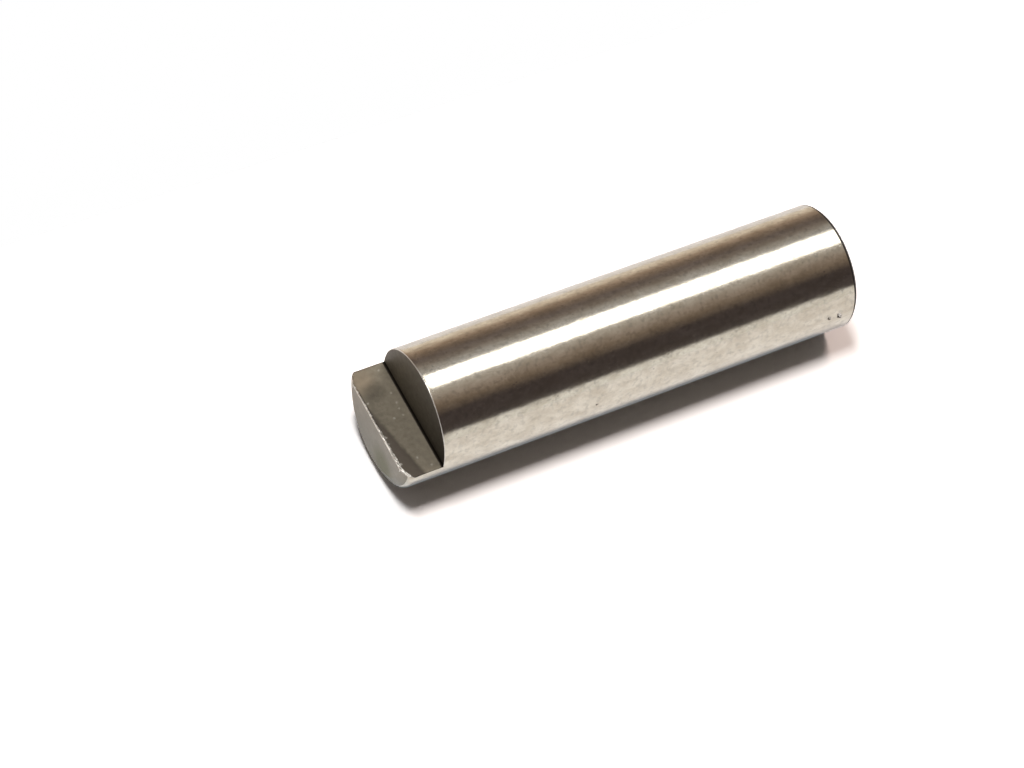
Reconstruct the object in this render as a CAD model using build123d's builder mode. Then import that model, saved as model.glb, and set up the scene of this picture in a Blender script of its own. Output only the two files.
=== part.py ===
"""Parking arm shaft: a hardened and ground steel pin with a half-moon tang milled on one end.

Millimetres. The shaft stands on its plain end: the origin is the centre of that end, +Z runs along the
axis to the tang, and the milled flat of the tang faces -Y.
"""

import os
from math import cos, radians, sin

from build123d import *

# Ground body
shaft_diameter = 12.0
shaft_length = 46.7
plain_end_break = 0.25  # 45 degree break of the plain end's rim

# Half-moon tang
tang_length = 3.7  # from the shoulder to the tang's end face
tang_thickness = 5.9  # from the flat to the back of the shaft
tang_bevel_radial = 1.15  # turned bevel round the tang's end face
tang_bevel_axial = 0.5
tang_bevel_round = 0.55  # radius that blends this bevel into the ground body

# Worn bevel along the end edge of the flat
wear_start = 2.0  # where it begins on the end edge, on the +X side of the axis
wear_skew = 12.5  # degrees that it runs away from the end edge, towards -X
wear_tilt = 4.0  # degrees that it falls below the flat

shaft_radius = shaft_diameter / 2
shoulder_height = shaft_length - tang_length
flat_y = shaft_radius - tang_thickness

with BuildPart() as arm_shaft:
    # Turned blank: half of its section, revolved about the shaft's axis
    with BuildSketch(Plane.XZ) as blank_section:
        with BuildLine():
            Polyline(
                (0, 0),
                (shaft_radius - plain_end_break, 0),
                (shaft_radius, plain_end_break),
                (shaft_radius, shaft_length - tang_bevel_axial),
                (shaft_radius - tang_bevel_radial, shaft_length),
                (0, shaft_length),
                close=True,
            )
        make_face()
        bevel_corner = blank_section.vertices().group_by(Axis.X)[-1].sort_by(Axis.Y)[-1]
        fillet(bevel_corner, radius=tang_bevel_round)
    revolve(axis=Axis.Z)

    # Half-moon tang: everything in front of the flat is milled away, down to a square shoulder
    with BuildSketch(Plane.XY.offset(shoulder_height)):
        with Locations((0, flat_y)):
            Rectangle(2 * shaft_diameter, shaft_diameter, align=(Align.CENTER, Align.MAX))
    extrude(amount=tang_length, mode=Mode.SUBTRACT)

    # Worn bevel: a shallow slope that leaves the flat along a skewed line and falls towards the end edge
    skew = radians(wear_skew)
    tilt = radians(wear_tilt)
    wear_plane = Plane(
        origin=(wear_start, flat_y, shaft_length),
        x_dir=(cos(skew), 0, sin(skew)),
        z_dir=(-sin(skew) * sin(tilt), -cos(tilt), cos(skew) * sin(tilt)),
    )
    with BuildSketch(wear_plane):
        Rectangle(2 * shaft_diameter, shaft_diameter, align=(Align.MAX, Align.MIN))
    extrude(amount=shaft_radius, mode=Mode.SUBTRACT)

arm_shaft.part.label = "arm_shaft"

os.makedirs("parts", exist_ok=True)
export_step(arm_shaft.part, "parts/arm_shaft.step")
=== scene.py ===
"""Parking arm shaft: a ground steel pin with a half-moon tang, shown lying on a pale table."""

from math import atan2, ceil, cos, exp, hypot, log, pi, radians, sin, sqrt, tan

import bmesh
import bpy
from mathutils import Matrix, Vector, noise


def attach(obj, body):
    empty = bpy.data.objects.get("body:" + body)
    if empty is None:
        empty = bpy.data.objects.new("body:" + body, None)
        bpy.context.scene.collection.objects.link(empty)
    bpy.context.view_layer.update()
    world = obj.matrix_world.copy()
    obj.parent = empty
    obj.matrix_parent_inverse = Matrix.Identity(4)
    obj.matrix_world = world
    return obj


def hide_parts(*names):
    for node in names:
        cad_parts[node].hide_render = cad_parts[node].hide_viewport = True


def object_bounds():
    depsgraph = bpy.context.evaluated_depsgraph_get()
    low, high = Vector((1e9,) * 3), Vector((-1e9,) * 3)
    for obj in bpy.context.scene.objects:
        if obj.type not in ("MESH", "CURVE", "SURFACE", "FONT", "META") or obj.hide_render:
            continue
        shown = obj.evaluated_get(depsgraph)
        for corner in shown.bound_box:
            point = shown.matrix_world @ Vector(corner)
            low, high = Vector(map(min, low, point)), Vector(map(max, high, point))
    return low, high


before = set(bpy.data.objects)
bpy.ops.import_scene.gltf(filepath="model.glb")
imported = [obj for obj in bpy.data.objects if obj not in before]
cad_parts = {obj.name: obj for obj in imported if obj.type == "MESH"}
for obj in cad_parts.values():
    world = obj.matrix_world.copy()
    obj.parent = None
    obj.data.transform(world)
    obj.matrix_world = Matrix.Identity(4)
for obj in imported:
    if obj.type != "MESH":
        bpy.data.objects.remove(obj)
CAD_LOW, CAD_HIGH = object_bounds()

bl_info = {
    "name": "Parking Arm Shaft",
    "version": (1, 0, 0),
    "blender": (4, 5, 0),
    "location": "View3D > Sidebar > Shaft",
    "description": "Makes a ground steel pin with a half-moon tang, and the table and light it is shown in",
    "category": "Add Mesh",
}

MM = 0.001
PER_MM = 1 / MM
# Width of one wave of the wave texture at a scale of 1
WAVE = 0.314
# A Mix node's colour sockets go by number, because its other sockets have the same names
MIX_A, MIX_B, MIXED = 6, 7, 2


def linear(code):
    """Linear colour of an sRGB hex value."""
    parts = [int(code[i : i + 2], 16) / 255 for i in (1, 3, 5)]
    return tuple(c / 12.92 if c <= 0.04045 else ((c + 0.055) / 1.055) ** 2.4 for c in parts)


def opaque(colour, share=1.0):
    """A share of a colour, with full opacity."""
    return (*[c * share for c in colour], 1.0)


def length_prop(name, description, millimetres):
    """A length in metres, given in millimetres."""
    return bpy.props.FloatProperty(
        name=name,
        description=description,
        default=millimetres * MM,
        min=0.0,
        precision=5,
        unit="LENGTH",
    )


def angle_prop(name, description, degrees):
    """An angle, given in degrees."""
    return bpy.props.FloatProperty(
        name=name,
        description=description,
        default=radians(degrees),
        precision=3,
        subtype="ANGLE",
        unit="ROTATION",
    )


def colour_prop(name, description, code):
    """A colour, given as an sRGB hex value."""
    return bpy.props.FloatVectorProperty(
        name=name,
        description=description,
        default=linear(code),
        min=0.0,
        max=1.0,
        size=3,
        subtype="COLOR",
    )


# --------------------
# Settings
# --------------------


class ShaftSettings(bpy.types.PropertyGroup):
    """Sizes and colours of the shaft."""

    diameter: length_prop("Diameter", "Diameter of the ground body", (CAD_HIGH.x - CAD_LOW.x) / MM)
    length: length_prop("Length", "Length over both ends", (CAD_HIGH.z - CAD_LOW.z) / MM)
    facets: bpy.props.IntProperty(
        name="Facets",
        description="Flat strips round the body",
        default=288,
        min=48,
        max=720,
    )
    tang_length: length_prop("Tang length", "From the shoulder to the tang's end", 3.7)
    tang_thickness: length_prop("Tang thickness", "From the milled flat to the back of the shaft", 5.9)
    plain_break: length_prop("Plain end break", "45 degree break of the plain end's rim", 0.25)
    bevel_radial: length_prop("Tang bevel width", "Turned bevel of the tang's end, across the axis", 1.15)
    bevel_axial: length_prop("Tang bevel depth", "Turned bevel of the tang's end, along the axis", 0.5)
    bevel_round: length_prop("Tang bevel blend", "Radius between that bevel and the body", 0.55)
    wear_start: length_prop("Wear start", "Where the worn slope begins on the tang's end edge", 2.0)
    wear_skew: angle_prop("Wear skew", "Angle at which it runs away from that edge", 12.5)
    wear_tilt: angle_prop("Wear tilt", "How steeply it falls away from the flat", 4.0)
    burr_height: length_prop("Burr height", "Height of the upset metal along the tang's end edge", 0.07)
    arris: length_prop("Arris", "Width of the rounded edges of shoulder and tang", 0.1)
    ground_colour: colour_prop("Ground steel", "Colour of the ground body", "#CCC5B6")
    milled_colour: colour_prop("Milled steel", "Colour of the flat and the shoulder", "#827A6B")
    # The worn slope's dark colour is a painted dark reflection
    worn_reflection_colour: colour_prop("Worn slope", "Colour of the worn slope on the flat, painted dark as a reflection of dark surroundings", "#443E37")
    stain_colour: colour_prop("Stain", "Colour of the heat stain at the flat's corner", "#857866")
    # Painted shade on the shoulder's lower part, also used for the dark patch on the flat
    shade_colour: colour_prop("Painted shade", "Colour of the painted shade on the shoulder's lower part, and of the dark patch on the flat", "#2B2621")
    # Painted shade along the inside corner under the shoulder
    corner_shade_colour: colour_prop("Corner shade", "Colour of the painted shade along the corner under the shoulder", "#241F1B")
    # Also the colour of the painted glints on the flat and inside the nicks
    edge_and_glint_colour: colour_prop("Bright edge and glints", "Colour of the rubbed edges and the burr, and of the painted glints on the flat and inside the nicks", "#E2DCD2")
    turned_colour: colour_prop("Turned steel", "Colour of the two ends", "#938B7D")
    # The dark band at the plain end's break, and the painted shade inside the lowest nick
    dark_turned_colour: colour_prop("Scale", "Colour of the dark band at the plain end's break, and of the painted shade inside the lowest nick", "#3E3833")


class StageSettings(bpy.types.PropertyGroup):
    """Camera, table and light."""

    azimuth: angle_prop("Azimuth", "Where the camera stands round the shaft; zero looks along +Y", -27.773)
    elevation: angle_prop("Elevation", "Height of the camera over the plain end's plane", 20.749)
    roll: angle_prop("Roll", "Turn of the camera about its own axis", -109.878)
    distance: length_prop("Distance", "From the camera to the point it aims at", 284.845)
    lens: bpy.props.FloatProperty(
        name="Lens",
        description="Focal length on a 36 mm sensor",
        default=110.103,
        unit="CAMERA",
    )
    table_azimuth: angle_prop("Table facing", "Direction of the table's upper side round the shaft", 0.0)


# --------------------
# Materials
# --------------------


def add_node(tree, kind, links=None, **settings):
    """Adds a node. Links give its inputs a value or another node's output; settings are its attributes."""
    node = tree.nodes.new(kind)
    for name, value in settings.items():
        setattr(node, name, value)
    for socket, value in (links or {}).items():
        if isinstance(value, bpy.types.NodeSocket):
            tree.links.new(value, node.inputs[socket])
        else:
            node.inputs[socket].default_value = value
    return node


def new_material(name):
    """An empty node material, with its tree and its output node."""
    material = bpy.data.materials.new(name)
    material.use_nodes = True
    tree = material.node_tree
    tree.nodes.clear()
    return material, tree, add_node(tree, "ShaderNodeOutputMaterial")


def ground_steel(colour):
    """Hardened shaft steel, centreless ground: a near mirror, softened by handling and a few pits."""
    material, tree, output = new_material("Centreless ground steel")
    place = add_node(tree, "ShaderNodeTexCoord").outputs["Object"]
    # Grinding lines 25 mm long: about 0.02 mm apart on such steel, drawn 0.12 mm apart so that they show
    stretched = add_node(
        tree,
        "ShaderNodeMapping",
        {"Vector": place, "Scale": (PER_MM / 25, PER_MM / 25, PER_MM / 0.12)},
    )
    lines = add_node(
        tree,
        "ShaderNodeTexNoise",
        {"Vector": stretched.outputs[0], "Scale": 1.0, "Detail": 3.0, "Roughness": 0.6},
    )
    # Waves left by grinding and wear, 1 mm across and 1.8 mm along the shaft: they bend what it mirrors
    drawn = add_node(
        tree, "ShaderNodeMapping", {"Vector": place, "Scale": (PER_MM / 1.0, PER_MM / 1.0, PER_MM / 1.8)}
    )
    waves = add_node(
        tree,
        "ShaderNodeTexNoise",
        {"Vector": drawn.outputs[0], "Scale": 1.0, "Detail": 4.5, "Roughness": 0.55},
    )
    # Film of oil, in patches 1.2 mm across and 2 mm along the shaft, with a fine grain in it
    spread = add_node(
        tree, "ShaderNodeMapping", {"Vector": place, "Scale": (PER_MM / 1.2, PER_MM / 1.2, PER_MM / 2.0)}
    )
    film = add_node(
        tree,
        "ShaderNodeTexNoise",
        {"Vector": spread.outputs[0], "Scale": 1.0, "Detail": 5.0, "Roughness": 0.68},
    )
    # Pits 0.1 mm across, a few millimetres apart
    cells = add_node(tree, "ShaderNodeTexVoronoi", {"Vector": place, "Scale": PER_MM / 0.8})
    round_pit = add_node(
        tree,
        "ShaderNodeMapRange",
        {
            "Value": cells.outputs["Distance"],
            "From Min": 0.03,
            "From Max": 0.12,
            "To Min": 0.8,
            "To Max": 0.0,
        },
    )
    some = add_node(tree, "ShaderNodeMath", {0: cells.outputs["Color"], 1: 0.6}, operation="GREATER_THAN")
    pits = add_node(
        tree, "ShaderNodeMath", {0: round_pit.outputs[0], 1: some.outputs[0]}, operation="MULTIPLY"
    )
    tint = add_node(
        tree,
        "ShaderNodeMix",
        {"Factor": waves.outputs["Fac"], MIX_A: opaque(colour, 1.15), MIX_B: opaque(colour, 0.9)},
        data_type="RGBA",
    )
    patches = add_node(
        tree, "ShaderNodeMapRange", {"Value": film.outputs["Fac"], "From Min": 0.38, "From Max": 0.66}
    )
    warm = (colour[0] * 0.8, colour[1] * 0.77, colour[2] * 0.73, 1.0)
    darkened = add_node(
        tree,
        "ShaderNodeMix",
        {"Factor": patches.outputs[0], MIX_A: tint.outputs[MIXED], MIX_B: warm},
        data_type="RGBA",
    )
    # Dark blotches 0.5 mm across, where fingers and oil have dulled the surface
    handled = add_node(
        tree,
        "ShaderNodeTexNoise",
        {"Vector": place, "Scale": PER_MM / 0.5, "Detail": 3.0, "Roughness": 0.6},
    )
    blotch = add_node(
        tree,
        "ShaderNodeMapRange",
        {"Value": handled.outputs["Fac"], "From Min": 0.5, "From Max": 0.7, "To Max": 0.55},
    )
    dulled = add_node(
        tree,
        "ShaderNodeMix",
        {"Factor": blotch.outputs[0], MIX_A: darkened.outputs[MIXED], MIX_B: opaque(colour, 0.6)},
        data_type="RGBA",
    )
    pitted = add_node(
        tree,
        "ShaderNodeMix",
        {"Factor": pits.outputs[0], MIX_A: dulled.outputs[MIXED], MIX_B: opaque(colour, 0.45)},
        data_type="RGBA",
    )
    gloss = add_node(
        tree,
        "ShaderNodeMapRange",
        {"Value": film.outputs["Fac"], "From Min": 0.3, "From Max": 0.7, "To Min": 0.12, "To Max": 0.17},
    )
    fine = add_node(
        tree,
        "ShaderNodeMath",
        {0: lines.outputs["Fac"], 1: 0.06, 2: waves.outputs["Fac"]},
        operation="MULTIPLY_ADD",
    )
    height = add_node(
        tree,
        "ShaderNodeMath",
        {0: pits.outputs[0], 1: -0.5, 2: fine.outputs[0]},
        operation="MULTIPLY_ADD",
    )
    bump = add_node(
        tree, "ShaderNodeBump", {"Strength": 1.0, "Distance": 0.012 * MM, "Height": height.outputs[0]}
    )
    shader = add_node(
        tree,
        "ShaderNodeBsdfPrincipled",
        {
            "Base Color": pitted.outputs[MIXED],
            "Metallic": 1.0,
            "Roughness": gloss.outputs["Result"],
            "Normal": bump.outputs["Normal"],
        },
    )
    tree.links.new(shader.outputs["BSDF"], output.inputs["Surface"])
    return material


def milled_steel(s):
    """End milled steel: a dull sheen under the cutter's arcs, worn, stained and dirty where it is used."""
    material, tree, output = new_material("End milled steel")
    shoulder, level = (s.length - s.tang_length) / MM, (s.diameter / 2 - s.tang_thickness) / MM
    end, radius = s.length / MM, s.diameter / 2 / MM
    place = add_node(tree, "ShaderNodeTexCoord").outputs["Object"]
    scaled = add_node(
        tree,
        "ShaderNodeVectorMath",
        {0: place, 1: (PER_MM, PER_MM, PER_MM)},
        operation="MULTIPLY",
    )
    at = scaled.outputs[0]
    axes = add_node(tree, "ShaderNodeSeparateXYZ", {0: at})
    # Marks 0.45 mm across, and broad patches of 1.4 mm
    marks = add_node(
        tree, "ShaderNodeTexNoise", {"Vector": at, "Scale": 1 / 0.45, "Detail": 5.0, "Roughness": 0.6}
    ).outputs["Fac"]
    broad = add_node(
        tree, "ShaderNodeTexNoise", {"Vector": at, "Scale": 1 / 1.4, "Detail": 3.0}
    ).outputs["Fac"]

    # The cutter's arcs: about 0.05 mm apart on such a flat, drawn 0.3 mm apart so that they show
    swing = add_node(tree, "ShaderNodeMapping", {"Vector": at, "Location": (-2.0, 0.0, -end - 6.0)})
    arcs = add_node(
        tree,
        "ShaderNodeTexWave",
        {
            "Vector": swing.outputs[0],
            "Scale": WAVE / 0.3,
            "Distortion": 1.2,
            "Detail": 2.0,
            "Detail Scale": 2.0,
        },
        wave_type="RINGS",
        rings_direction="Y",
    )

    # Worn slope, its dark colour a painted reflection of dark surroundings: soft edge, running away from
    # the end edge
    from_edge = add_node(
        tree, "ShaderNodeVectorMath", {0: at, 1: (-s.wear_start / MM - 1.3, 0.0, -end)}, operation="ADD"
    )
    beyond = add_node(
        tree,
        "ShaderNodeVectorMath",
        {0: from_edge.outputs[0], 1: (-sin(s.wear_skew), 0.0, cos(s.wear_skew))},
        operation="DOT_PRODUCT",
    )
    worn_edge = add_node(
        tree, "ShaderNodeMath", {0: marks, 1: 0.25, 2: beyond.outputs["Value"]}, operation="MULTIPLY_ADD"
    )
    worn = add_node(
        tree,
        "ShaderNodeMapRange",
        {"Value": worn_edge.outputs[0], "From Max": 0.45},
        interpolation_type="SMOOTHSTEP",
    )

    # Heat stain at the corner of flat and end
    from_stain = add_node(
        tree, "ShaderNodeVectorMath", {0: at, 1: (radius - 0.9, level, end - 0.6)}, operation="DISTANCE"
    )
    stain = add_node(
        tree,
        "ShaderNodeMapRange",
        {
            "Value": from_stain.outputs["Value"],
            "From Min": 0.4,
            "From Max": 2.3,
            "To Min": 0.9,
            "To Max": 0.0,
        },
        interpolation_type="SMOOTHSTEP",
    )

    # Dark patch beside the stain
    from_dark_patch = add_node(
        tree, "ShaderNodeVectorMath", {0: at, 1: (3.4, level, end - 1.5)}, operation="DISTANCE"
    )
    dark_patch = add_node(
        tree,
        "ShaderNodeMapRange",
        {
            "Value": from_dark_patch.outputs["Value"],
            "From Min": 0.3,
            "From Max": 1.5,
            "To Min": 0.42,
            "To Max": 0.0,
        },
        interpolation_type="SMOOTHSTEP",
    )

    # Painted shade along the inside corner under the shoulder; it also makes the surface rougher there
    corner = add_node(tree, "ShaderNodeVectorMath", {0: at, 1: (0.0, -level, -shoulder)}, operation="ADD")
    across = add_node(
        tree, "ShaderNodeVectorMath", {0: corner.outputs[0], 1: (0.0, 1.0, 1.0)}, operation="MULTIPLY"
    )
    depth = add_node(tree, "ShaderNodeVectorMath", {0: across.outputs[0]}, operation="LENGTH")
    corner_shade = add_node(
        tree,
        "ShaderNodeMapRange",
        {"Value": depth.outputs["Value"], "From Min": 0.1, "From Max": 0.27, "To Min": 0.95, "To Max": 0.0},
        interpolation_type="SMOOTHSTEP",
    )

    # Burr: bright metal, 0.05 to 0.2 mm wide, along the tang's end edge
    out = add_node(tree, "ShaderNodeMath", {0: axes.outputs["X"]}, operation="ABSOLUTE")
    bevelled = add_node(
        tree, "ShaderNodeMath", {0: out.outputs[0], 1: radius - s.bevel_radial / MM}, operation="SUBTRACT"
    )
    drop = add_node(tree, "ShaderNodeMath", {0: bevelled.outputs[0], 1: 0.0}, operation="MAXIMUM")
    edge = add_node(
        tree,
        "ShaderNodeMath",
        {0: drop.outputs[0], 1: s.bevel_axial / s.bevel_radial, 2: axes.outputs["Z"]},
        operation="MULTIPLY_ADD",
    )
    torn = add_node(
        tree,
        "ShaderNodeTexNoise",
        {"Vector": at, "Scale": 1 / 0.25, "Detail": 3.0, "Roughness": 0.7},
    )
    ragged = add_node(
        tree,
        "ShaderNodeMath",
        {0: torn.outputs["Fac"], 1: 0.35, 2: edge.outputs[0]},
        operation="MULTIPLY_ADD",
    )
    reach = add_node(
        tree,
        "ShaderNodeMath",
        {0: axes.outputs["X"], 1: -0.018, 2: ragged.outputs[0]},
        operation="MULTIPLY_ADD",
    )
    bright = add_node(
        tree,
        "ShaderNodeMapRange",
        {"Value": reach.outputs[0], "From Min": end - 0.04, "From Max": end + 0.05},
    )

    # The shoulder's face, with painted shade that darkens it towards its lower end, where less light falls
    face = add_node(
        tree, "ShaderNodeMath", {0: axes.outputs["Z"], 1: shoulder + 0.02}, operation="LESS_THAN"
    )
    slant = add_node(
        tree, "ShaderNodeVectorMath", {0: at, 1: (0.82, -0.57, 0.0)}, operation="DOT_PRODUCT"
    )
    shade_edge = add_node(
        tree, "ShaderNodeMath", {0: broad, 1: 2.0, 2: slant.outputs["Value"]}, operation="MULTIPLY_ADD"
    )
    darkening = add_node(
        tree,
        "ShaderNodeMapRange",
        {"Value": shade_edge.outputs[0], "From Min": 7.5, "From Max": -3.5, "To Min": 0.35, "To Max": 1.0},
    )
    darkened = add_node(
        tree, "ShaderNodeMath", {0: darkening.outputs[0], 1: face.outputs[0]}, operation="MULTIPLY"
    )

    # Painted glints on the flat: small bright specks 0.2 mm across, each of its own shape
    torn_place = add_node(
        tree,
        "ShaderNodeVectorMath",
        {0: torn.outputs["Color"], 1: (0.3, 0.3, 0.3), 2: at},
        operation="MULTIPLY_ADD",
    )
    laid = add_node(
        tree,
        "ShaderNodeMapping",
        {"Vector": torn_place.outputs[0], "Rotation": (pi / 2, 0.0, 0.0)},
    )
    cells = add_node(
        tree, "ShaderNodeTexVoronoi", {"Vector": laid.outputs[0], "Scale": 1 / 0.8}, voronoi_dimensions="2D"
    )
    speck = add_node(
        tree,
        "ShaderNodeMapRange",
        {
            "Value": cells.outputs["Distance"],
            "From Min": 0.04,
            "From Max": 0.2,
            "To Min": 0.22,
            "To Max": 0.0,
        },
    )
    some = add_node(tree, "ShaderNodeMath", {0: cells.outputs["Color"], 1: 0.7}, operation="GREATER_THAN")
    specks = add_node(
        tree,
        "ShaderNodeMath",
        {0: speck.outputs[0], 1: some.outputs[0]},
        operation="MULTIPLY",
    )
    glints = add_node(
        tree,
        "ShaderNodeMath",
        {0: specks.outputs[0], 1: face.outputs[0]},
        operation="SUBTRACT",
        use_clamp=True,
    )

    # Cleaner towards the shoulder, duller towards the end
    handled = add_node(
        tree,
        "ShaderNodeMapRange",
        {"Value": axes.outputs["Z"], "From Min": shoulder + 0.7, "From Max": end},
    )
    marked = add_node(tree, "ShaderNodeMath", {0: handled.outputs[0], 1: marks}, operation="ADD")
    dull = add_node(
        tree,
        "ShaderNodeMath",
        {0: marked.outputs[0], 1: 0.3},
        operation="SUBTRACT",
        use_clamp=True,
    )
    low = opaque(s.milled_colour, 0.5)
    tint = add_node(
        tree,
        "ShaderNodeMix",
        {"Factor": dull.outputs[0], MIX_A: opaque(s.milled_colour), MIX_B: low},
        data_type="RGBA",
    )
    broken = add_node(tree, "ShaderNodeMath", {0: stain.outputs[0], 1: broad}, operation="MULTIPLY")
    patchy = add_node(
        tree,
        "ShaderNodeMath",
        {0: broken.outputs[0], 1: 1.6},
        operation="MULTIPLY",
        use_clamp=True,
    )
    for share, colour in (
        (patchy.outputs[0], s.stain_colour),
        (dark_patch.outputs[0], s.shade_colour),
        (worn.outputs[0], s.worn_reflection_colour),
        (darkened.outputs[0], s.shade_colour),
        (glints.outputs[0], s.edge_and_glint_colour),
        (corner_shade.outputs[0], s.corner_shade_colour),
        (bright.outputs[0], s.edge_and_glint_colour),
    ):
        tint = add_node(
            tree,
            "ShaderNodeMix",
            {"Factor": share, MIX_A: tint.outputs[MIXED], MIX_B: opaque(colour)},
            data_type="RGBA",
        )
    clean = add_node(tree, "ShaderNodeMapRange", {"Value": marks, "To Min": 0.42, "To Max": 0.56})
    # The corner under the painted shade is also rougher
    rough_corner = add_node(
        tree,
        "ShaderNodeMix",
        {"Factor": corner_shade.outputs[0], "A": clean.outputs[0], "B": 0.8},
        data_type="FLOAT",
    )
    gloss = add_node(
        tree,
        "ShaderNodeMix",
        {"Factor": bright.outputs[0], "A": rough_corner.outputs[0], "B": 0.35},
        data_type="FLOAT",
    )
    height = add_node(
        tree,
        "ShaderNodeMath",
        {0: arcs.outputs["Fac"], 1: 0.04, 2: marks},
        operation="MULTIPLY_ADD",
    )
    bump = add_node(
        tree, "ShaderNodeBump", {"Strength": 1.0, "Distance": 0.012 * MM, "Height": height.outputs[0]}
    )
    shader = add_node(
        tree,
        "ShaderNodeBsdfPrincipled",
        {
            "Base Color": tint.outputs[MIXED],
            "Metallic": 1.0,
            "Roughness": gloss.outputs[0],
            "Normal": bump.outputs["Normal"],
        },
    )
    tree.links.new(shader.outputs["BSDF"], output.inputs["Surface"])
    return material


def turned_steel(name, colour):
    """Steel as turned and then hardened: a soft grey sheen, blotched by the heat."""
    material, tree, output = new_material(name)
    place = add_node(tree, "ShaderNodeTexCoord").outputs["Object"]
    # Blotches 0.7 mm across, and a grain of 0.12 mm
    blotch = add_node(
        tree,
        "ShaderNodeTexNoise",
        {"Vector": place, "Scale": PER_MM / 0.7, "Detail": 2.0, "Roughness": 0.5},
    )
    grain = add_node(
        tree,
        "ShaderNodeTexNoise",
        {"Vector": place, "Scale": PER_MM / 0.12, "Detail": 2.0, "Roughness": 0.6},
    )
    # Turning lines: about 0.05 mm apart on such an end, drawn 0.2 mm apart so that they show
    lines = add_node(
        tree,
        "ShaderNodeTexWave",
        {"Vector": place, "Scale": PER_MM * WAVE / 0.2, "Distortion": 0.6, "Detail": 2.0},
        wave_type="RINGS",
        rings_direction="Z",
    )
    blotched = add_node(
        tree,
        "ShaderNodeMix",
        {"Factor": blotch.outputs["Fac"], MIX_A: opaque(colour), MIX_B: opaque(colour, 0.7)},
        data_type="RGBA",
    )
    # A darker, olive patch on the lower half of the tang's end, towards the table
    from_patch = add_node(
        tree, "ShaderNodeVectorMath", {0: place, 1: (-2.1 * MM, 3.4 * MM, CAD_HIGH.z)}, operation="DISTANCE"
    )
    darkening = add_node(
        tree,
        "ShaderNodeMapRange",
        {
            "Value": from_patch.outputs["Value"],
            "From Min": 0.6 * MM,
            "From Max": 2.6 * MM,
            "To Min": 0.9,
            "To Max": 0.0,
        },
        interpolation_type="SMOOTHSTEP",
    )
    olive = (colour[0] * 0.5, colour[1] * 0.51, colour[2] * 0.36, 1.0)
    tint = add_node(
        tree,
        "ShaderNodeMix",
        {"Factor": darkening.outputs[0], MIX_A: blotched.outputs[MIXED], MIX_B: olive},
        data_type="RGBA",
    )
    gloss = add_node(
        tree,
        "ShaderNodeMapRange",
        {"Value": grain.outputs["Fac"], "To Min": 0.34, "To Max": 0.5},
    )
    lined = add_node(
        tree,
        "ShaderNodeMath",
        {0: lines.outputs["Fac"], 1: 0.15, 2: grain.outputs["Fac"]},
        operation="MULTIPLY_ADD",
    )
    height = add_node(
        tree,
        "ShaderNodeMath",
        {0: blotch.outputs["Fac"], 1: 2.0, 2: lined.outputs[0]},
        operation="MULTIPLY_ADD",
    )
    bump = add_node(
        tree, "ShaderNodeBump", {"Strength": 1.0, "Distance": 0.006 * MM, "Height": height.outputs[0]}
    )
    shader = add_node(
        tree,
        "ShaderNodeBsdfPrincipled",
        {
            "Base Color": tint.outputs[MIXED],
            "Metallic": 1.0,
            "Roughness": gloss.outputs[0],
            "Normal": bump.outputs["Normal"],
        },
    )
    tree.links.new(shader.outputs["BSDF"], output.inputs["Surface"])
    return material


def edge_steel(colour):
    """Edges rubbed bright in use, and the painted highlights inside the nicks: glossy, and broken by small
    dents.
    """
    material, tree, output = new_material("Rubbed steel edge and painted glints")
    place = add_node(tree, "ShaderNodeTexCoord").outputs["Object"]
    # Dents 0.3 mm across
    dents = add_node(
        tree,
        "ShaderNodeTexNoise",
        {"Vector": place, "Scale": PER_MM / 0.3, "Detail": 3.0, "Roughness": 0.6},
    )
    tint = add_node(
        tree,
        "ShaderNodeMix",
        {"Factor": dents.outputs["Fac"], MIX_A: opaque(colour), MIX_B: opaque(colour, 0.6)},
        data_type="RGBA",
    )
    gloss = add_node(
        tree,
        "ShaderNodeMapRange",
        {"Value": dents.outputs["Fac"], "To Min": 0.2, "To Max": 0.4},
    )
    bump = add_node(
        tree, "ShaderNodeBump", {"Strength": 1.0, "Distance": 0.01 * MM, "Height": dents.outputs["Fac"]}
    )
    shader = add_node(
        tree,
        "ShaderNodeBsdfPrincipled",
        {
            "Base Color": tint.outputs[MIXED],
            "Metallic": 1.0,
            "Roughness": gloss.outputs[0],
            "Normal": bump.outputs["Normal"],
        },
    )
    tree.links.new(shader.outputs["BSDF"], output.inputs["Surface"])
    return material


# --------------------
# Modelling
# --------------------


# Metres within which a point counts as lying on a plane or ring, and within which two points are one
NEAR, WELD = 1e-6, 1e-7
# Height of the plain end's break together with its rounded edges
RIM = 0.38 * MM
# Heights on either side of the body's nicks, in millimetres
BESIDE_NICKS = (1.2, 3.8, 27.2, 28.1)


def pick(mesh, kind, test):
    """In edit mode, selects the vertices, edges or faces for which the test holds."""
    bpy.ops.mesh.select_mode(type=kind)
    bpy.ops.mesh.select_all(action="DESELECT")
    data = bmesh.from_edit_mesh(mesh)
    for element in {"VERT": data.verts, "EDGE": data.edges, "FACE": data.faces}[kind]:
        if test(element):
            element.select_set(True)
    bmesh.update_edit_mesh(mesh)


def settle(piece, name):
    """Names a piece and puts its place into its mesh."""
    piece.name = name
    piece.data.name = name
    bpy.ops.object.select_all(action="DESELECT")
    piece.select_set(True)
    bpy.context.view_layer.objects.active = piece
    bpy.ops.object.transform_apply(location=True, rotation=True, scale=True)


def subtract(piece, cutter):
    """Cuts one piece with another, which is used up."""
    bpy.ops.object.select_all(action="DESELECT")
    piece.select_set(True)
    bpy.context.view_layer.objects.active = piece
    bpy.ops.object.modifier_add(type="BOOLEAN")
    modifier = piece.modifiers[-1]
    modifier.operation = "DIFFERENCE"
    modifier.solver = "EXACT"
    modifier.object = cutter
    bpy.ops.object.modifier_apply(modifier=modifier.name)
    bpy.data.objects.remove(cutter)


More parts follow.
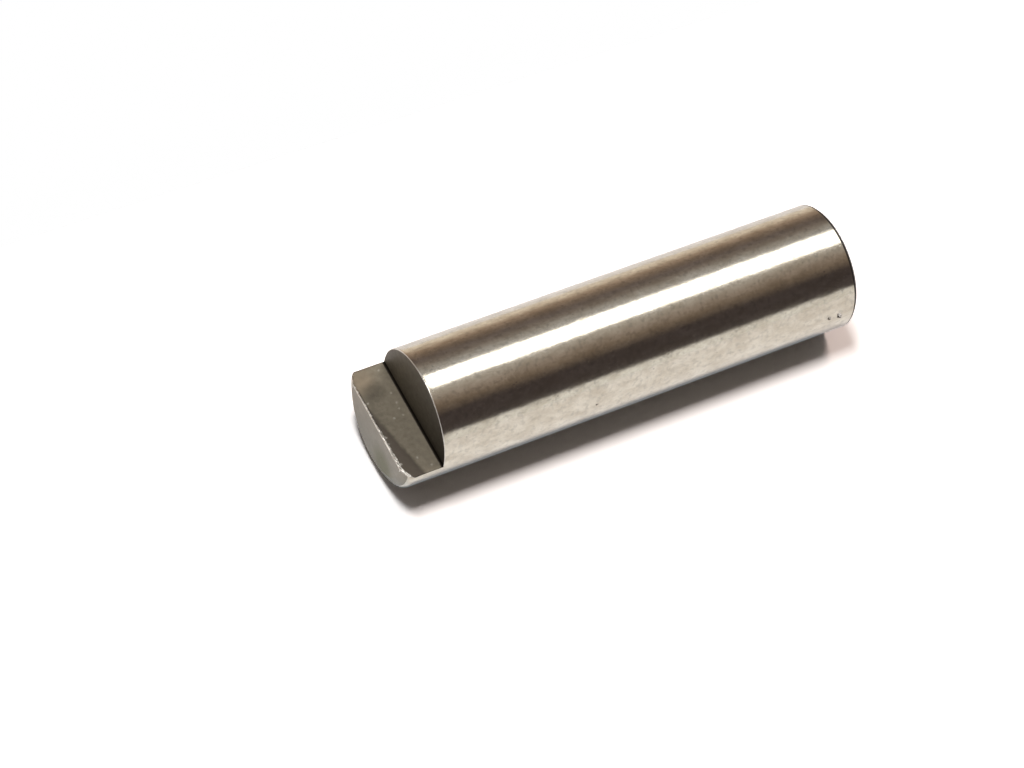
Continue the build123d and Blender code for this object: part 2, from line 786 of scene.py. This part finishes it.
def on_ring(edge, height, out):
    """Whether an edge lies on the ring at that height and that distance out from the axis."""
    return all(
        abs(v.co.z - height) < NEAR and abs(hypot(v.co.x, v.co.y) - out) < NEAR for v in edge.verts
    )


def turned_blank(s):
    """The turned and ground bar, with the break of its plain end and the bevel of its tang end."""
    radius = s.diameter / 2
    bpy.ops.object.select_all(action="DESELECT")
    bpy.ops.mesh.primitive_cylinder_add(
        vertices=s.facets,
        radius=radius,
        depth=s.length,
        end_fill_type="NGON",
        location=(0, 0, s.length / 2),
    )
    blank = bpy.context.object
    settle(blank, "ground_shaft")
    bpy.ops.object.mode_set(mode="EDIT")
    under_shoulder = s.length - s.tang_length - 0.4 * MM
    # Rings of edges that keep what is cut into the body from disturbing the long strips beside it
    for height in (RIM, *[h * MM for h in BESIDE_NICKS], under_shoulder):
        bpy.ops.mesh.select_all(action="SELECT")
        bpy.ops.mesh.bisect(plane_co=(0, 0, height), plane_no=(0, 0, 1))
    pick(blank.data, "EDGE", lambda e: on_ring(e, 0.0, radius))
    bpy.ops.mesh.bevel(offset=s.plain_break, segments=1, affect="EDGES")
    pick(
        blank.data,
        "EDGE",
        lambda e: on_ring(e, s.plain_break, radius) or on_ring(e, 0.0, radius - s.plain_break),
    )
    bpy.ops.mesh.bevel(offset=s.arris / 3, segments=3, affect="EDGES")
    pick(blank.data, "FACE", lambda f: f.normal.z > 0.9)
    bpy.ops.mesh.inset(thickness=s.bevel_radial)
    top = s.length - NEAR
    pick(blank.data, "VERT", lambda v: v.co.z > top and hypot(v.co.x, v.co.y) > radius - NEAR)
    bpy.ops.transform.translate(value=(0, 0, -s.bevel_axial))
    corner = s.length - s.bevel_axial
    pick(blank.data, "EDGE", lambda e: on_ring(e, corner, radius))
    turn = atan2(s.bevel_radial, s.bevel_axial)
    bpy.ops.mesh.bevel(offset=s.bevel_round * tan(turn / 2), segments=6, affect="EDGES")
    pick(blank.data, "EDGE", lambda e: on_ring(e, s.length, radius - s.bevel_radial))
    bpy.ops.mesh.bevel(offset=s.arris, segments=3, affect="EDGES")
    bpy.ops.object.mode_set(mode="OBJECT")
    return blank


def tang_outline(x, s):
    """Height of the tang's end over the shaft's plain end, at a distance x from the axis."""
    radius = s.diameter / 2
    out = min(abs(x), radius)
    lean = atan2(s.bevel_axial, s.bevel_radial)
    if out < radius - s.bevel_round * (1 - sin(lean)):
        return s.length - max(0.0, out - radius + s.bevel_radial) * tan(lean)
    blend = sqrt(max(0.0, s.bevel_round**2 - (out - radius + s.bevel_round) ** 2))
    return s.length - s.bevel_axial - s.bevel_round * tan((radians(90) - lean) / 2) + blend


# Fine shapes along the tang's edges, with no settings of their own
WEAR_BLEND = 0.12 * MM
BURR_INSET = 0.08 * MM
BURR_WANDER = 0.05 * MM
BURR_SPREAD = 0.07 * MM
CHIP_DEPTH = 0.16 * MM
GROOVE_DEPTH = 0.05 * MM
GROOVE_WIDTH = 0.15 * MM


def waver(x, width, row):
    """A value between -1 and 1 that wanders along the tang's edge, in steps of a width in millimetres."""
    return noise.noise(Vector((x / (width * MM), row, 0.0)))


def edge_fall(inside, s):
    """How far a rounded edge falls away, at a distance inside it counted in widths of that edge."""
    if inside >= 1:
        return 0.0
    if inside > 0:
        return s.arris * (0.6 * (1 - inside) ** 2)
    return s.arris * (0.6 - 1.2 * inside)


def milled_relief(x, z, s):
    """How far the used flat stands out from a true plane: worn slope, burr, rounded edges, groove."""
    beyond = (z - s.length) * cos(s.wear_skew) - (x - s.wear_start) * sin(s.wear_skew)
    worn = WEAR_BLEND * log(1 + exp(min(beyond / WEAR_BLEND, 40.0))) * tan(s.wear_tilt)
    edge = tang_outline(x, s) - z
    ragged = waver(x, 1.1, 3.7) + 0.7 * waver(x, 0.33, 9.1)
    crest = BURR_INSET + BURR_WANDER * waver(x, 0.3, 21.3)
    # The burr is higher towards -X
    height = s.burr_height * (0.95 - 0.05 * x / MM) * max(0.0, 0.85 + 0.5 * ragged)
    burr = height * exp(-(((edge - crest) / BURR_SPREAD) ** 2))
    chip = CHIP_DEPTH * max(0.0, waver(x, 0.45, 14.9) - 0.1)
    inside = min(edge - chip, s.diameter / 2 - abs(x)) / s.arris
    foot = z - s.length + s.tang_length
    groove = GROOVE_DEPTH * max(0.0, 1 - foot / GROOVE_WIDTH)
    return burr - worn - edge_fall(inside, s) - groove


def distances(fine, last, step):
    """Distances from an edge inwards: the fine ones, then even steps as far as the last."""
    start = fine[-1]
    count = ceil((last - start) / step)
    return list(fine) + [start + (last - start) * (i + 1) / count for i in range(count)]


def tang_cutter(s):
    """The block that the milling cutter takes away in front of the tang."""
    radius, shoulder, clear = s.diameter / 2, s.length - s.tang_length, 0.6 * MM
    # A grid that is finest at the edges and in the corner, where burr, rounding and groove lie
    step_across, step_down = 0.05 * MM, 0.085 * MM
    fine = [d * MM for d in (0.02, 0.045, 0.075, 0.11, 0.15, 0.2)]
    half = [clear + radius] + [radius - d for d in distances(fine, radius, step_across)]
    across = [-x for x in half] + half[-2::-1]
    down = [-clear] + distances(fine, s.tang_length - GROOVE_WIDTH, step_down)
    down += [s.tang_length - d * MM for d in (0.1, 0.05, 0.0)]
    bpy.ops.object.select_all(action="DESELECT")
    bpy.ops.mesh.primitive_grid_add(x_subdivisions=len(across) - 1, y_subdivisions=len(down) - 1, size=1.0)
    cutter = bpy.context.object
    settle(cutter, "tang_cutter")
    for vertex in cutter.data.vertices:
        x = across[round((vertex.co.x + 0.5) * (len(across) - 1))]
        below = down[round((vertex.co.y + 0.5) * (len(down) - 1))]
        end = tang_outline(x, s)
        z = end - below if below < 0 else shoulder + (end - shoulder) * (1 - below / s.tang_length)
        vertex.co = (x, radius - s.tang_thickness - milled_relief(x, z, s), z)
    bpy.ops.object.mode_set(mode="EDIT")
    bpy.ops.mesh.select_all(action="SELECT")
    bpy.ops.mesh.extrude_region_move(TRANSFORM_OT_translate={"value": (0, -s.diameter, 0)})
    pick(cutter.data, "FACE", lambda f: all(abs(v.co.z - shoulder) < WELD for v in f.verts))
    bpy.ops.mesh.dissolve_faces()
    bpy.ops.mesh.select_all(action="SELECT")
    bpy.ops.mesh.normals_make_consistent(inside=False)
    bpy.ops.object.mode_set(mode="OBJECT")
    return cutter


def arris_cutter(s):
    """A turned ring that rounds the shoulder's edge in front of the tang."""
    radius, shoulder, wide = s.diameter / 2, s.length - s.tang_length, s.arris * 0.75
    # Four lines, each leaning about 18 degrees more than the last, cut the edge round
    turn = 18
    rise = wide * tan(radians(turn))
    stretch = cos(radians(turn / 2))
    section = [(radius - 2 * wide, shoulder + rise)]
    for lean in (27, 45, 63):
        out, up = sin(radians(lean)) / stretch, cos(radians(lean)) / stretch
        section.append((radius - wide + wide * out, shoulder - wide + wide * up))
    section += [(radius + rise, shoulder - 2 * wide), (radius + 4 * wide, shoulder - 2 * wide)]
    section += [(radius + 4 * wide, shoulder + 2 * wide), (radius - 2 * wide, shoulder + 2 * wide)]
    bpy.ops.object.select_all(action="DESELECT")
    bpy.ops.mesh.primitive_circle_add(vertices=len(section), radius=1.0, fill_type="NGON")
    cutter = bpy.context.object
    settle(cutter, "arris_cutter")
    step = radians(360) / s.facets
    for vertex, (out, height) in zip(cutter.data.vertices, section):
        vertex.co = (out * cos(step), out * sin(step), height)
    bpy.ops.object.mode_set(mode="EDIT")
    bpy.ops.mesh.select_all(action="SELECT")
    # Half of the shaft's round, and one facet more at each side
    turns = s.facets // 2 + 2
    bpy.ops.mesh.spin(steps=turns, angle=turns * step, center=(0, 0, 0), axis=(0, 0, 1))
    bpy.ops.mesh.select_all(action="SELECT")
    bpy.ops.mesh.remove_doubles(threshold=WELD)
    bpy.ops.mesh.normals_make_consistent(inside=False)
    bpy.ops.object.mode_set(mode="OBJECT")
    return cutter


NICK_DEPTH = 0.13 * MM
NICKS = (
    # place on the body (mm), length and width (mm), turn about the surface's normal (degrees)
    ((-5.95, -0.78, 1.87), 0.5, 0.85, 25),
    ((-5.93, -0.89, 2.99), 0.36, 0.55, 25),
    ((-5.94, -0.83, 27.62), 0.3, 0.2, 0),
)


def nick_cutter(place, long, wide, turn):
    """A small gouge in the ground surface."""
    bpy.ops.object.select_all(action="DESELECT")
    bpy.ops.mesh.primitive_ico_sphere_add(subdivisions=3, radius=1.0)
    gouge = bpy.context.object
    # Its place gives each gouge lumps of its own
    uneven, lumps = 0.35, 1.7
    for vertex in gouge.data.vertices:
        vertex.co *= 1 + uneven * noise.noise(vertex.co * lumps + Vector(place))
    around = atan2(place[1], place[0])
    size = Matrix.Diagonal((NICK_DEPTH, wide / 2 * MM, long / 2 * MM, 1.0))
    lie = Matrix.Rotation(around, 4, "Z") @ Matrix.Rotation(radians(turn), 4, "X")
    gouge.matrix_world = Matrix.Translation(Vector(place) * MM) @ lie @ size
    settle(gouge, "gouge")
    return gouge


# The finishes, by their number among the shaft's materials; rubbed is the bright edge and also the painted
# highlight inside the nicks; dark turned is the dark band at the plain end's break and also the painted
# shade inside the lowest nick
GROUND, MILLED, TURNED, DARK_TURNED, RUBBED_AND_GLINT = range(5)


def finish_at(place, normal, s):
    """Which finish a face has, by its middle and its normal."""
    radius, shoulder = s.diameter / 2, s.length - s.tang_length
    out, level = hypot(place.x, place.y), radius - s.tang_thickness
    sideways = hypot(normal.x, normal.y)
    to_front = normal.y < -0.5
    edge_width, deepest_wear, nick_skin, dark_nick = 1.2 * s.arris, 0.4 * MM, 0.012 * MM, 2.4 * MM
    if place.z < RIM:
        return DARK_TURNED if normal.z > -0.98 else TURNED
    if place.z > shoulder - NEAR and place.y < level + deepest_wear and (to_front or normal.z > 0.99):
        return MILLED if place.z < s.length - NEAR or to_front else TURNED
    if abs(place.z - shoulder) < edge_width and place.y < level and out > radius - edge_width:
        return RUBBED_AND_GLINT if sideways < 0.99 else GROUND
    # Painted light inside the nicks: the lower side gets the bright edge finish as a painted highlight, the
    # rest a darker finish as painted shade, darkest in the lowest nick
    if MM < place.z < shoulder - MM and out < radius - nick_skin:
        if normal.z > 0.15:
            return RUBBED_AND_GLINT
        return DARK_TURNED if place.z < dark_nick else TURNED
    if sideways > 0.98 or out > radius - 0.3 * MM:
        return GROUND
    return TURNED


class SHAFT_OT_ground_shaft(bpy.types.Operator):
    """Model the shaft: turned blank, milled tang, deburred edges"""

    bl_idname = "shaft.ground_shaft"
    bl_label = "Ground Shaft"

    def execute(self, context):
        s = context.scene.shaft_settings
        shaft = turned_blank(s)
        subtract(shaft, tang_cutter(s))
        subtract(shaft, arris_cutter(s))
        for nick in NICKS:
            subtract(shaft, nick_cutter(*nick))
        bpy.ops.object.mode_set(mode="EDIT")
        bpy.ops.mesh.select_all(action="SELECT")
        bpy.ops.mesh.remove_doubles(threshold=WELD)
        bpy.ops.object.mode_set(mode="OBJECT")
        finishes = (
            ground_steel(s.ground_colour),
            milled_steel(s),
            turned_steel("Turned steel", s.turned_colour),
            turned_steel("Dark turned steel", s.dark_turned_colour),
            edge_steel(s.edge_and_glint_colour),
        )
        for finish in finishes:
            shaft.data.materials.append(finish)
        for polygon in shaft.data.polygons:
            polygon.material_index = finish_at(polygon.center, polygon.normal, s)
        sharpest_smooth = radians(22)
        bpy.ops.object.shade_smooth_by_angle(angle=sharpest_smooth)
        bpy.ops.object.modifier_add(type="WEIGHTED_NORMAL")
        shaft.modifiers[-1].keep_sharp = True
        bpy.ops.object.modifier_apply(modifier=shaft.modifiers[-1].name)
        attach(shaft, "root")
        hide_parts("arm_shaft")
        return {"FINISHED"}


# --------------------
# Stage
# --------------------


WHITE, WARM = (1.0, 1.0, 1.0), (0.96, 0.79, 0.71)
LAMPS = (
    # name; degrees round the shaft, above its middle, and across and along as the shaft sees the lamp;
    # radiance; colour; whether the shaft mirrors it; whether it lights matt surfaces
    ("softbox", 13.0, -20.7, 24.0, 30.0, 3.0, WHITE, True, False),
    ("key_lamp", 5.3, 10.5, 16.0, 10.0, 38.0, WHITE, True, True),
    ("second_lamp", 4.5, -21.0, 16.0, 8.0, 26.0, WARM, False, True),
)


def round_axis(azimuth, distance, height=0.0):
    """A point at an azimuth round the shaft's axis."""
    return Vector((sin(azimuth) * distance, -cos(azimuth) * distance, height))


def place_camera(s):
    """The camera, aimed at the shaft's middle."""
    back = round_axis(s.azimuth, cos(s.elevation), sin(s.elevation))
    level = Vector((cos(s.azimuth), sin(s.azimuth), 0))
    upright = back.cross(level)
    right = level * cos(s.roll) + upright * sin(s.roll)
    up = back.cross(right)
    aim = Vector((1.0315, 3.1695, 32.032)) * MM
    data = bpy.data.cameras.new("camera")
    data.lens = s.lens
    data.sensor_width = 36.0
    data.clip_start = 0.01
    data.clip_end = 5.0
    camera = bpy.data.objects.new("camera", data)
    bpy.context.scene.collection.objects.link(camera)
    turn = Matrix((right, up, back)).transposed().to_4x4()
    camera.matrix_world = Matrix.Translation(aim + back * s.distance) @ turn
    bpy.context.scene.camera = camera


def table_material():
    """Matt white card: it keeps the shaft's shadow, and shows nothing from behind."""
    material, tree, output = new_material("Matt white card")
    path = add_node(tree, "ShaderNodeLightPath")
    bare = add_node(
        tree,
        "ShaderNodeMath",
        {0: path.outputs["Is Camera Ray"], 1: path.outputs["Is Glossy Ray"]},
        operation="MAXIMUM",
    )
    shown = add_node(
        tree,
        "ShaderNodeMath",
        {0: bare.outputs[0], 1: path.outputs["Is Transmission Ray"]},
        operation="MAXIMUM",
    )
    # Light that the card throws back at itself under the shaft is left out, so that the shadow stays deep
    first = add_node(
        tree, "ShaderNodeMath", {0: path.outputs["Diffuse Depth"], 1: 0.5}, operation="LESS_THAN"
    )
    # Behind the shaft the card is painted darker for the shaft's mirror, as painted shade of a card further
    # from the light, and its painted sheen fades there
    place = add_node(tree, "ShaderNodeTexCoord").outputs["Object"]
    parts = add_node(tree, "ShaderNodeSeparateXYZ", {"Vector": place})
    near = add_node(
        tree,
        "ShaderNodeMapRange",
        {"Value": parts.outputs["X"], "From Min": 6 * MM, "From Max": -2 * MM, "To Min": 0.6},
    )
    shade = add_node(
        tree,
        "ShaderNodeMix",
        {"Factor": near.outputs[0], MIX_A: (0.88, 0.86, 0.85, 1.0), MIX_B: (1.0, 1.0, 1.01, 1.0)},
        data_type="RGBA",
    )
    lit = add_node(tree, "ShaderNodeMath", {0: shown.outputs[0], 1: first.outputs[0]}, operation="MULTIPLY")
    mirrored = add_node(
        tree,
        "ShaderNodeMix",
        {"Factor": lit.outputs[0], MIX_A: (0.05, 0.05, 0.05, 1.0), MIX_B: shade.outputs[MIXED]},
        data_type="RGBA",
    )
    seen = add_node(
        tree,
        "ShaderNodeMix",
        {
            "Factor": path.outputs["Is Camera Ray"],
            MIX_A: mirrored.outputs[MIXED],
            MIX_B: (1.61, 1.58, 1.57, 1.0),
        },
        data_type="RGBA",
    )
    matt = add_node(tree, "ShaderNodeBsdfDiffuse", {"Color": seen.outputs[MIXED]})
    # Painted sheen: a faint bluish glow on the card that only the shaft's mirror sees, as it mirrors the
    # card at a low angle
    glossy = add_node(
        tree,
        "ShaderNodeMath",
        {0: path.outputs["Is Glossy Ray"], 1: first.outputs[0]},
        operation="MULTIPLY",
    )
    fading = add_node(
        tree,
        "ShaderNodeMath",
        {0: glossy.outputs[0], 1: near.outputs[0]},
        operation="MULTIPLY",
    )
    painted_sheen = add_node(tree, "ShaderNodeMath", {0: fading.outputs[0], 1: 0.28}, operation="MULTIPLY")
    glow = add_node(
        tree, "ShaderNodeEmission", {"Color": (0.78, 0.88, 1.0, 1.0), "Strength": painted_sheen.outputs[0]}
    )
    card = add_node(tree, "ShaderNodeAddShader", {0: matt.outputs[0], 1: glow.outputs[0]})
    through = add_node(tree, "ShaderNodeBsdfTransparent")
    back = add_node(tree, "ShaderNodeNewGeometry").outputs["Backfacing"]
    mix = add_node(tree, "ShaderNodeMixShader", {0: back, 1: card.outputs[0], 2: through.outputs[0]})
    tree.links.new(mix.outputs[0], output.inputs["Surface"])
    return material


def lay_table(s):
    """The table: a card that all but touches the shaft's side."""
    in_front, behind, long, gap = 90 * MM, 34 * MM, 700 * MM, 0.02 * MM
    bpy.ops.object.select_all(action="DESELECT")
    bpy.ops.mesh.primitive_plane_add(size=1.0)
    table = bpy.context.object
    up = round_axis(s.table_azimuth, 1.0)
    away = Vector((0, 0, 1)).cross(up)
    along = up.cross(away)
    table.matrix_world = (
        Matrix.Translation(-up * (CAD_HIGH.x + gap) + away * (behind - in_front) / 2)
        @ Matrix((away, along, up)).transposed().to_4x4()
        @ Matrix.Diagonal((in_front + behind, long, 1.0, 1.0))
    )
    settle(table, "table")
    table.data.materials.append(table_material())


ROOM = (
    # degrees round the shaft, linear brightness of the room there; below -84 the card sweeps up
    (-98, (1.06, 1.07, 1.08)),
    (-84.3, (1.02, 1.01, 1.0)),
    (-80.3, (0.083, 0.069, 0.069)),
    (-47, (0.073, 0.059, 0.06)),
    (-32, (0.25, 0.195, 0.155)),
    (-22, (0.38, 0.315, 0.275)),
    (-8, (0.53, 0.49, 0.455)),
    (0, (0.59, 0.58, 0.58)),
    (30, (0.52, 0.52, 0.54)),
    (38, (0.46, 0.44, 0.43)),
    (47, (0.275, 0.235, 0.215)),
    (59, (0.18, 0.148, 0.143)),
    (71, (0.255, 0.195, 0.16)),
    (83, (0.48, 0.365, 0.29)),
    (95, (0.93, 0.81, 0.68)),
    (107, (1.05, 0.96, 0.86)),
)


def room_material():
    """The room round the table, as soft light that changes only round the shaft's axis."""
    material, tree, output = new_material("Room")
    place = add_node(tree, "ShaderNodeTexCoord").outputs["Object"]
    parts = add_node(tree, "ShaderNodeSeparateXYZ", {"Vector": place})
    toward = add_node(tree, "ShaderNodeMath", {0: parts.outputs["Y"], 1: -1.0}, operation="MULTIPLY")
    angle = add_node(
        tree, "ShaderNodeMath", {0: parts.outputs["X"], 1: toward.outputs[0]}, operation="ARCTAN2"
    )
    first, last = radians(ROOM[0][0]), radians(ROOM[-1][0])
    share = add_node(
        tree,
        "ShaderNodeMapRange",
        {"Value": angle.outputs[0], "From Min": first, "From Max": last},
    )
    ramp = add_node(tree, "ShaderNodeValToRGB", {"Fac": share.outputs["Result"]})
    stops = ramp.color_ramp.elements
    while len(stops) < len(ROOM):
        stops.new(0.5)
    # All the places first, then the colours, because a stop that moves can change its number
    for stop, (degrees, _) in zip(stops, ROOM):
        stop.position = (radians(degrees) - first) / (last - first)
    for stop, (_, colour) in zip(stops, ROOM):
        stop.color = opaque(colour)
    # Matt surfaces get only a little of the room's light, so that the shaft's shadow stays deep
    path = add_node(tree, "ShaderNodeLightPath")
    strength = add_node(
        tree, "ShaderNodeMapRange", {"Value": path.outputs["Is Diffuse Ray"], "To Min": 1.0, "To Max": 0.23}
    )
    glow = add_node(
        tree, "ShaderNodeEmission", {"Color": ramp.outputs["Color"], "Strength": strength.outputs[0]}
    )
    tree.links.new(glow.outputs[0], output.inputs["Surface"])
    return material


def hang_room():
    """A half tube of backdrop round the table, out of the camera's sight."""
    radius, long = 600 * MM, 2400 * MM
    first, last = radians(ROOM[0][0]), radians(ROOM[-1][0])
    bpy.ops.object.select_all(action="DESELECT")
    bpy.ops.mesh.primitive_cylinder_add(vertices=144, radius=radius, depth=long, end_fill_type="NOTHING")
    room = bpy.context.object
    settle(room, "room")
    bpy.ops.object.mode_set(mode="EDIT")
    middle = (first + last) / 2
    half = (last - first) / 2

    def outside(face):
        centre = face.calc_center_median()
        off = atan2(centre.x, -centre.y) - middle
        return abs((off + radians(180)) % radians(360) - radians(180)) > half

    pick(room.data, "FACE", outside)
    bpy.ops.mesh.delete(type="FACE")
    bpy.ops.mesh.select_all(action="SELECT")
    bpy.ops.mesh.flip_normals()
    bpy.ops.object.mode_set(mode="OBJECT")
    room.data.materials.append(room_material())
    room.visible_camera = False
    room.visible_shadow = False


def hang_lamp(name, azimuth, tilt, across, along, radiance, colour, mirrored, on_matt):
    """A lamp aimed at the shaft's middle: its place and apparent size in degrees, its light, its uses."""
    distance = 420 * MM
    wide = 2 * distance * tan(radians(across / 2))
    long = 2 * distance * tan(radians(along / 2))
    toward = round_axis(radians(azimuth), cos(radians(tilt)), sin(radians(tilt)))
    right = Vector((0, 0, 1)).cross(toward).normalized()
    up = toward.cross(right)
    middle = Vector((0, 0, CAD_HIGH.z / 2))
    bpy.ops.object.select_all(action="DESELECT")
    bpy.ops.object.light_add(type="AREA")
    lamp = bpy.context.object
    lamp.name = name
    lamp.data.shape = "RECTANGLE"
    lamp.data.size = wide
    lamp.data.size_y = long
    lamp.data.energy = radiance * pi * wide * long
    lamp.data.color = colour
    lamp.matrix_world = (
        Matrix.Translation(middle + toward * distance) @ Matrix((right, up, toward)).transposed().to_4x4()
    )
    lamp.visible_camera = False
    lamp.visible_glossy = mirrored
    lamp.visible_diffuse = on_matt


def light_world():
    """White for what the camera, metal and glass see, and nothing for the rest."""
    world = bpy.data.worlds.new("world")
    bpy.context.scene.world = world
    world.use_nodes = True
    tree = world.node_tree
    tree.nodes.clear()
    path = add_node(tree, "ShaderNodeLightPath")
    bare = add_node(
        tree,
        "ShaderNodeMath",
        {0: path.outputs["Is Camera Ray"], 1: path.outputs["Is Glossy Ray"]},
        operation="MAXIMUM",
    )
    shown = add_node(
        tree,
        "ShaderNodeMath",
        {0: bare.outputs[0], 1: path.outputs["Is Transmission Ray"]},
        operation="MAXIMUM",
    )
    background = add_node(
        tree, "ShaderNodeBackground", {"Color": (1.0, 1.0, 1.0, 1.0), "Strength": shown.outputs[0]}
    )
    output = add_node(tree, "ShaderNodeOutputWorld")
    tree.links.new(background.outputs[0], output.inputs["Surface"])


class SHAFT_OT_stage(bpy.types.Operator):
    """Set the camera, the table and the light"""

    bl_idname = "shaft.stage"
    bl_label = "Stage"

    def execute(self, context):
        s = context.scene.stage_settings
        context.scene.view_settings.view_transform = "Standard"
        place_camera(s)
        lay_table(s)
        hang_room()
        for lamp in LAMPS:
            hang_lamp(*lamp)
        light_world()
        return {"FINISHED"}


class SHAFT_PT_panel(bpy.types.Panel):
    """The shaft's operators"""

    bl_idname = "SHAFT_PT_panel"
    bl_label = "Parking Arm Shaft"
    bl_space_type = "VIEW_3D"
    bl_region_type = "UI"
    bl_category = "Shaft"

    def draw(self, context):
        for name in ("shaft.ground_shaft", "shaft.stage"):
            self.layout.operator(name)


CLASSES = (
    ShaftSettings,
    StageSettings,
    SHAFT_OT_ground_shaft,
    SHAFT_OT_stage,
    SHAFT_PT_panel,
)


def register():
    """Registers the classes and the settings."""
    for item in CLASSES:
        bpy.utils.register_class(item)
    bpy.types.Scene.shaft_settings = bpy.props.PointerProperty(type=ShaftSettings)
    bpy.types.Scene.stage_settings = bpy.props.PointerProperty(type=StageSettings)


def unregister():
    """Takes them away again."""
    del bpy.types.Scene.stage_settings
    del bpy.types.Scene.shaft_settings
    for item in reversed(CLASSES):
        bpy.utils.unregister_class(item)


def main():
    """Makes the shaft and its stage."""
    register()
    bpy.ops.shaft.ground_shaft()
    bpy.ops.shaft.stage()


if __name__ == "__main__":
    main()
